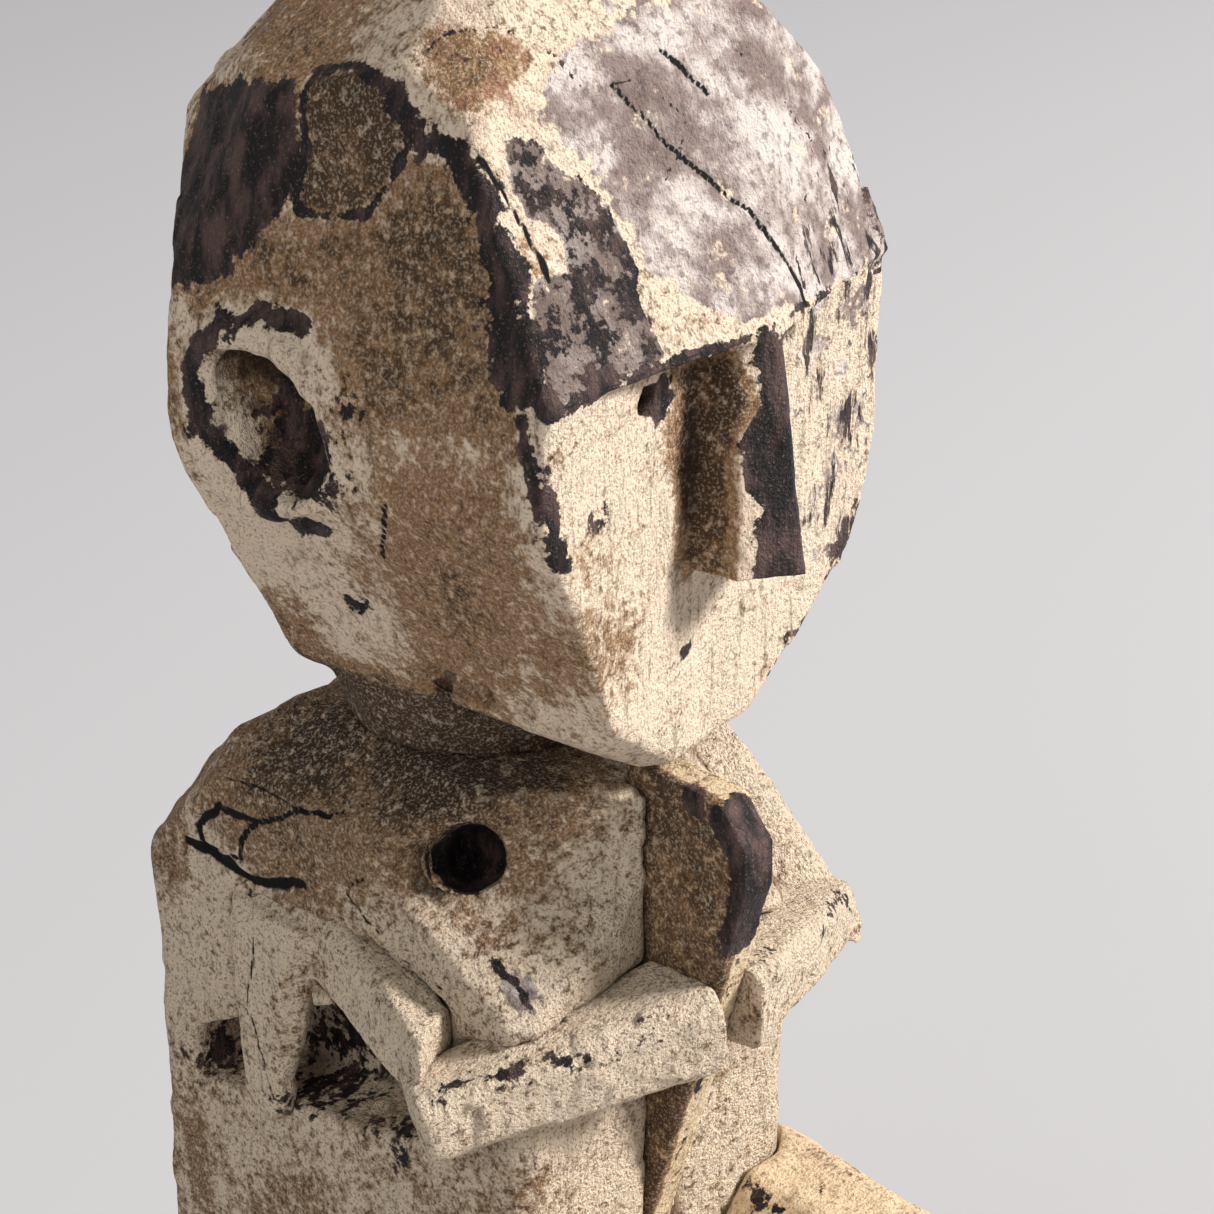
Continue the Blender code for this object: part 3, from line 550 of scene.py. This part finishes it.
lit_cheek_spots = [(-44, -75, 442), (-34, -73, 440), (-23, -70, 429), (-32, -72, 424), (-44, -75, 428)]
forehead = [(-13, -40, 530), (20, -36, 534), (70, -30, 522), (92, -36, 490), (88, -50, 458), (30, -72, 464),
            (-18, -76, 464), (-16, -64, 488), (-24, -54, 506), (-32, -46, 518)]
side_brown = [(-64, 0, 490), (-60, -20, 498), (-54, -42, 510), (-52, -58, 494), (-56, -68, 470),
              (-60, -68, 454), (-64, -44, 450), (-66, -28, 448), (-66, -16, 468), (-70, 4, 474),
              (-74, 24, 466), (-66, 20, 492)]
cheek_brown = [(-62, -30, 452), (-60, -66, 450), (-54, -72, 424), (-44, -66, 396), (-36, -50, 376),
               (-46, -30, 384), (-58, -22, 410)]

rim_widths = (1.4, 0.5, 1.1, 1.2)
rims = strongest(band(skin, line, width, 1.6) for line, width in zip(scale_rims, rim_widths))
splits = strongest(band(skin, line, 1.4, 1.7) for line in drying_splits)
cell_line = band(skin, cell_rim, 2.4, 4)
ridge = band(skin, temple_ridge, 7, 8)
scale_step = patch(skin, near_scale, 1.6)

# The far side takes some of the same marks, laid on the skin mirrored in the turned head's own middle plane.
lateral = np.array([math.cos(HEAD_TURN), math.sin(HEAD_TURN), 0])
sides = skin[0] @ lateral
middle = (sides.max() + sides.min()) / 2
far_points = skin[0] - 2 * (sides - middle)[:, None] * lateral
far = far_points, skin[1] - 2 * (skin[1] @ lateral)[:, None] * lateral
ear_cup_rim = [(-72, 16, 454), (-68, 2, 455), (-67, -8, 447), (-68, -12, 434), (-70, -4, 426), (-71, 8, 431)]
ear_cup = np.maximum(patch(skin, ear_cup_rim, 8), patch(far, ear_cup_rim, 8))
# The slot under the jaw is cut in, and the split mark darkens it with painted shade.
jaw_slot = band(skin, [(-41, -15, 372), (-36, -17, 367), (-29, -19, 359)], 5, 2)

# Millimetres out of the skin, or into it where they are below 0.
standing = (
    -8.0 * ear_cup
    - 2.5 * jaw_slot
    + 0.35 * scale_step
    - 0.5 * rims
    - 0.6 * splits
    - 0.5 * cell_line
    + 0.5 * ridge
)
push(head.data, standing * MM)
resin = strongest([
    patch(skin, side_panel, 7) * 0.95,
    cell_line,
    ridge,
    patch(skin, temple_stain, 7) * 0.8,
    band(skin, cheek_line, 4.5, 5) * 0.85,
    scale_step * 0.47,
    rims * 0.75,
    patch(skin, crown_stain, 8) * 0.32,
    # The dark band along the near brow edge paints the thin shadow under the ledge.
    band(skin, brow_edge[:4], 4.5, 4) * 0.8,
    band(skin, brow_edge[3:], 2.5, 3) * 0.75,
    patch(skin, nose_front, 5, 14),
    band(skin, ear_rim, 6.0, 5) * 0.95,
    patch(skin, lit_cheek_spots, 8) * 0.42,
    blob(skin, (-67, -26, 456), 12) * 0.40,
    blob(skin, (-54, -5, 392), 5) * 0.9,
    blob(skin, (-1, -64, 382), 4) * 0.7,
    band(skin, [(72, -48, 394), (60, -54, 374), (42, -58, 362)], 8, 9) * 0.62,
    band(skin, [(-12, -66, 364), (2, -62, 362), (14, -60, 362)], 1.5, 4) * 0.62,
    blob(skin, (-66, -3, 436), 15) * 1.05,
    blob(skin, (-64, 8, 446), 9) * 0.5,
    # The dark spot in the drilled eye is painted shade in the hole.
    blob(skin, (-13, -64, 451), 6) * 1.7,
    blob(skin, (-67, 22, 484), 14) * 0.55,
])
far_resin = strongest([
    band(far, temple_ridge, 7, 9) * 0.9,
    band(far, ear_rim, 4.5, 5) * 0.9,
    band(far, cheek_line, 4.0, 6) * 0.7,
    patch(far, temple_stain, 9) * 0.6,
    blob(far, (-66, -3, 436), 15),
    # The dark spot in the far drilled eye is painted shade in the hole.
    blob(far, (-13, -62, 451), 5) * 1.4,
    blob(skin, (34, 55, 505), 34) * 0.62,
    blob(skin, (-30, 74, 470), 26) * 0.55,
    blob(skin, (14, 80, 430), 22) * 0.5,
])
write(head.data, "resin", np.maximum(resin, far_resin))
# Among the splits, the dark line along the brow edge is painted shadow under the ledge.
write(head.data, "split", strongest([splits, band(skin, brow_edge, 0.6, 1.2) * 0.8, jaw_slot * 0.42]))
write(head.data, "bloom", strongest([
    patch(skin, forehead, 8, 45) * 0.72 - patch(skin, pale_lobe, 4) * 0.75,
    scale_step * 0.75,
    patch(skin, far_temple, 6, 45) * 0.5,
    patch(skin, far_cheek, 6) * 0.42,
    np.clip((height - 510) / 30, 0, 1) * np.clip((across + 30) / 30, 0, 1) * 0.55,
]))
write(head.data, "blush", blob(skin, (-40, -38, 522), 16))
write(head.data, "streak", strongest([
    patch(skin, far_cheek, 5) * 0.34,
    patch(skin, far_temple, 5, 45) * 0.36,
]))
write(head.data, "dusk", strongest([
    scale_step,
    0.7 * patch(skin, crown_stain, 8),
    0.7 * patch(skin, scale_rims[1], 5),
]))
write(head.data, "warm", strongest([
    patch(skin, side_brown, 12) * 1.0,
    patch(skin, cheek_brown, 14) * 0.65,
    patch(skin, side_panel, 8) * 1.0,
    patch(far, side_brown, 14) * 0.9,
    patch(far, cheek_brown, 16) * 0.5,
    np.clip(drift(skin[0], 45 * MM, 90) * 1.8, 0, 1) * np.clip(back / 20, 0, 1) * 0.9,
    patch(skin, cell_rim[:-1], 4) * 1.3,
    # The nose's near side, turned from the key lamp, is browned as painted shade.
    patch(skin, nose_side, 5, 9) * 1.25,
    blob(skin, (-54, -45, 400), 34) * 0.8,
    blob(skin, (-42, -30, 378), 24) * 0.7,
    patch(skin, ear_cup_rim, 6) * 1.1,
    # The neck under the jaw is brown, and darkened further as painted shadow of the jaw.
    np.clip((374 - height) / 12, 0, 1) * np.clip((back + 42) / 12, 0, 1) * 1.4,
    patch(skin, crown_stain, 10) * 0.9,
    blob(skin, (-50, 12, 528), 20),
]) - patch(skin, far_cheek, 6) * 0.6)
mark_wear_and_hollow_shade(head.data)
head_wood = weathered_wood("head_wood", (226, 205, 181), (150, 117, 84), brownness=0.45, coarse=1.6)
dress(head, head_wood, "cream_wood", "head")

# The trunk. One squared log that holds the shoulders, the breast and the hollow behind each arm. Its crust is
# sandier than the head's, the shoulder is crossed by dark splits, and the wood by the board is pitted.
TRUNK_NET = 1.35 * MM
SANDY_CRUST = (238, 217, 190)
trunk = carve("trunk", TRUNK_NET, worn=4, facet=16 * MM, tilt=0.06, lumps=0.7 * MM, seed=21)
skin = skin_of(trunk.data)
across, back, height = skin[0].T / MM
shoulder_cut = [(-61, 47, 321), (-60, 37, 322), (-58, 23, 325), (-57, 11, 330), (-52, -1, 334), (-57, 9, 331),
                (-58, 23, 330), (-59, 35, 330), (-61, 46, 329)]
shoulder_splits = [
    [(-61, 47, 319), (-60, 37, 319), (-59, 33, 319), (-58, 23, 324), (-58, 17, 328), (-56, 6, 331)],
    [(-61, 47, 319), (-61, 55, 309), (-61, 53, 303), (-60, 42, 306)],
    [(-59, 33, 319), (-60, 39, 312), (-60, 40, 307)],
]
shoulder_step = [(-60, 46, 328), (-58, 35, 329), (-58, 23, 329), (-57, 9, 330), (-51, -1, 334),
                 (-45, -11, 338)]
shoulder_crack = [(-62, 61, 303), (-61, 53, 303), (-60, 43, 303), (-60, 38, 301), (-59, 31, 302),
                  (-58, 17, 306)]
shoulder_gully = [(-60, 38, 300), (-59, 35, 294), (-61, 25, 288)]
breast_cut = [(-55, -5, 317), (-56, 1, 312), (-56, -3, 308), (-55, -10, 304)]
arm_seam = [(-58, 10, 299), (-56, 3, 298), (-56, -8, 297), (-54, -14, 298), (-53, -26, 297), (-52, -36, 294)]
porous = strongest([
    blob(skin, (-12, -54, 340), 17),
    blob(skin, (-10, -57, 328), 12),
    blob(skin, (-24, -42, 341), 14),
])
PIT_SPACING, PIT_RADIUS, PITS_LEFT_OUT = 3.7 * MM, 1.5 * MM, 0.25
pit_way, pit_home = nearest_cut(skin[0], PIT_SPACING, 40)
pits = np.exp(-(pit_way**2).sum(axis=1) / PIT_RADIUS**2) * (chance(pit_home, 47) > PITS_LEFT_OUT)
depth = (
    -1.1 * patch(skin, shoulder_cut, 2.0)
    - 1.0 * strongest(band(skin, line, 1.4, 2.0) for line in shoulder_splits)
    - 1.4 * band(skin, shoulder_crack, 2.4, 2.5)
    - 1.2 * band(skin, shoulder_gully, 4, 4)
    - 0.8 * band(skin, breast_cut, 1.0, 2)
    - 0.9 * band(skin, arm_seam, 1.2, 2)
    - 6.0 * blob(skin, (-47, -22, 322), 9)
    - 3.0 * blob(skin, (-38, -30, 330), 9)
    - 1.9 * pits * np.clip(porous * 1.6, 0, 1)
)
push(trunk.data, depth * MM)
move(trunk.data, soften(read(trunk.data, "points"), joins(trunk.data), 1, 0.3))
back_edge = np.clip((back - 60) / 12, 0, 1)
write(trunk.data, "resin", strongest([
    blob(skin, (-36, 28, 242), 30) * 0.60,
    blob(skin, (-48, 24, 240), 16) * 0.58,
    blob(skin, (-52, -12, 244), 16) * 0.5,
    blob(skin, (-55, 62, 232), 16) * 0.5,
    blob(skin, (-42, 33, 341), 12) * 0.36,
    np.clip(drift(skin[0] * (1, 1, 0.5), 26 * MM, 97) * 1.4 - 0.25, 0, 1) * back_edge * 0.7,
    blob(skin, (40, 30, 240), 26) * 0.5,
    # The dark band down the shoulder gully is painted shade in the groove.
    band(skin, shoulder_gully, 4, 5) * 0.52,
    # The dark inside the drilled chest hole is painted shade.
    blob(skin, (-30, -18, 318), 12) * 1.4,
    band(skin, [(-44, -42, 304), (-43, -49, 300), (-43, -53, 296)], 2.5, 3) * 0.8,
]))
write(trunk.data, "split", strongest([
    *(band(skin, line, 1.7, 2.0) for line in shoulder_splits),
    band(skin, shoulder_crack, 2.8, 3.0),
    band(skin, breast_cut, 0.8, 2),
    band(skin, arm_seam, 0.8, 2) * 0.9,
    band(skin, shoulder_step, 1.0, 2) * 0.9,
]))
hidden_sides = np.clip(np.maximum(back - 55, across - 40) / 12, 0, 1)
write(trunk.data, "warm", strongest([
    # Painted shadow of the head: the near shoulder's top and the breast round the neck foot are browned.
    blob(skin, (-48, 22, 336), 34) * 1.2,
    blob(skin, (-34, -12, 344), 30) * 1.5,
    blob(skin, (-20, -30, 344), 20) * 1.2,
    blob(skin, (30, -10, 340), 30) * 0.8,
    np.clip(drift(skin[0], 50 * MM, 95) * 1.8, 0, 1) * hidden_sides,
    np.clip((262 - height) / 20, 0, 1) * np.clip((-30 - across) / 10, 0, 1) * 0.25,
]))
write(trunk.data, "bloom", blob(skin, (-43, -50, 298), 6) * 0.9)
mark_wear_and_hollow_shade(trunk.data, 1.8)
trunk_wood = weathered_wood(
    "trunk_wood", SANDY_CRUST, (154, 121, 88), brownness=0.55, grainy=0.6, coarse=3.6, gritty=0.6
)
dress(trunk, trunk_wood, "cream_wood", "trunk")

# The arms. The right arm is a bar let into the trunk's side, with its worn end hanging from it. The right
# forearm is a second piece across the breast, and the left arm is cut from one crooked branch.
ARM_NET = 1.0 * MM
arm_wood = weathered_wood(
    "arm_wood", SANDY_CRUST, (158, 124, 90), brownness=0.55, grainy=0.6, coarse=3.4, gritty=0.6
)
# The right arm's line is a thin split, and the others are dark stains.
arm_lines = {
    "right_arm": [[(-61, 33, 286), (-62, 35, 273), (-63, 35, 263), (-61, 27, 237)]],
    "right_forearm": [[(-72, -50, 277), (-66, -47, 280), (-61, -52, 282), (-52, -60, 284)],
                      [(-44, -66, 286), (-31, -74, 286), (-22, -77, 291)]],
    "left_arm": [[(13, -78, 296), (28, -74, 293)], [(50, -66, 281), (64, -57, 282), (77, -53, 277)]],
}
for number, (node, lines) in enumerate(arm_lines.items()):
    arm = carve(node, ARM_NET, worn=4, facet=12 * MM, tilt=0.07, lumps=0.6 * MM, seed=60 + 20 * number)
    skin = skin_of(arm.data)
    if node == "right_arm":
        write(arm.data, "split", strongest(band(skin, line, 0.6, 2) for line in lines))
        write(arm.data, "resin", blob(skin, (-61, 25, 232), 10) * 0.5)
    else:
        write(arm.data, "resin", strongest(band(skin, line, 5.0, 9) for line in lines) * 0.62)
    mark_wear_and_hollow_shade(arm.data)
    dress(arm, arm_wood, "cream_wood", node)

# The breast board. A thin plank on edge, its tongue let into the front of the trunk. Its front edge is dark
# with old resin at the top, and its right side, turned from the key lamp, is browned with painted shade.
BOARD_NET = 1.0 * MM
board = carve("breast_board", BOARD_NET, worn=3, facet=14 * MM, tilt=0.03, lumps=0.3 * MM, seed=140)
skin = skin_of(board.data, 0.6)
front_edge = [(0, -85, 346), (0, -91, 336), (0, -91, 326), (0, -88, 312), (0, -84, 296), (0, -76, 268),
              (0, -66, 232)]
write(board.data, "resin", strongest([
    band(skin, front_edge[:4], 13, 5),
    band(skin, front_edge[3:], 3, 4) * 0.7,
    blob(skin, (-5, -72, 346), 4) * 1.3,
    band(skin, [(-5, -60, 336), (-5, -84, 334)], 1.0, 4) * 0.4,
]))
# Painted shade: the board's right side, turned from the key lamp, is browned.
write(board.data, "warm", np.clip(-skin[0][:, 0] / MM - 2, 0, 1))
mark_wear_and_hollow_shade(board.data)
board_wood = weathered_wood("board_wood", (214, 192, 158), (132, 100, 70), brownness=0.6)
dress(board, board_wood, "dark_wood", "breast_board")

# The legs, the stool and the plinth. Each leg is one crooked piece, pegged to the trunk at the lap and to
# the plinth under its foot. The stool is a waisted block, pegged to the trunk and to the broad plinth below.
SEAT_NET = {"right_leg": 1.7 * MM, "left_leg": 1.7 * MM, "stool": 2.0 * MM, "plinth": 2.2 * MM}
seat_wood = weathered_wood("seat_wood", (220, 194, 158), (156, 116, 78), brownness=0.5)


def stand_flat(mesh):
    """Lifts to the floor every point that the carving pushed below it, so that the plinth stands flat."""
    points = read(mesh, "points")
    points[:, 2] = np.maximum(points[:, 2], 0)
    move(mesh, points)


for number, (node, net) in enumerate(SEAT_NET.items()):
    block = carve(node, net, worn=2, facet=20 * MM, tilt=0.06, lumps=0.8 * MM, seed=200 + 20 * number)
    stand_flat(block.data)
    skin = skin_of(block.data)
    write(block.data, "resin", np.clip(drift(skin[0], 30 * MM, 300 + number), 0, 1) * 0.5)
    write(block.data, "warm", np.clip(drift(skin[0], 55 * MM, 340 + number) * 1.6 - 0.1, 0, 1))
    mark_wear_and_hollow_shade(block.data)
    dress(block, seat_wood, "warm_wood", node)

# The pegs. Whittled sticks of harder, darker wood, driven into drilled holes. Only the neck peg's end shows,
# at the nape, and the others are hidden in their joints.
peg_wood = weathered_wood("peg_wood", (150, 112, 74), (96, 66, 42), brownness=0.7)
for name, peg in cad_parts.items():
    if name.endswith("_peg"):
        peg.data.materials.clear()
        peg.data.materials.append(peg_wood)
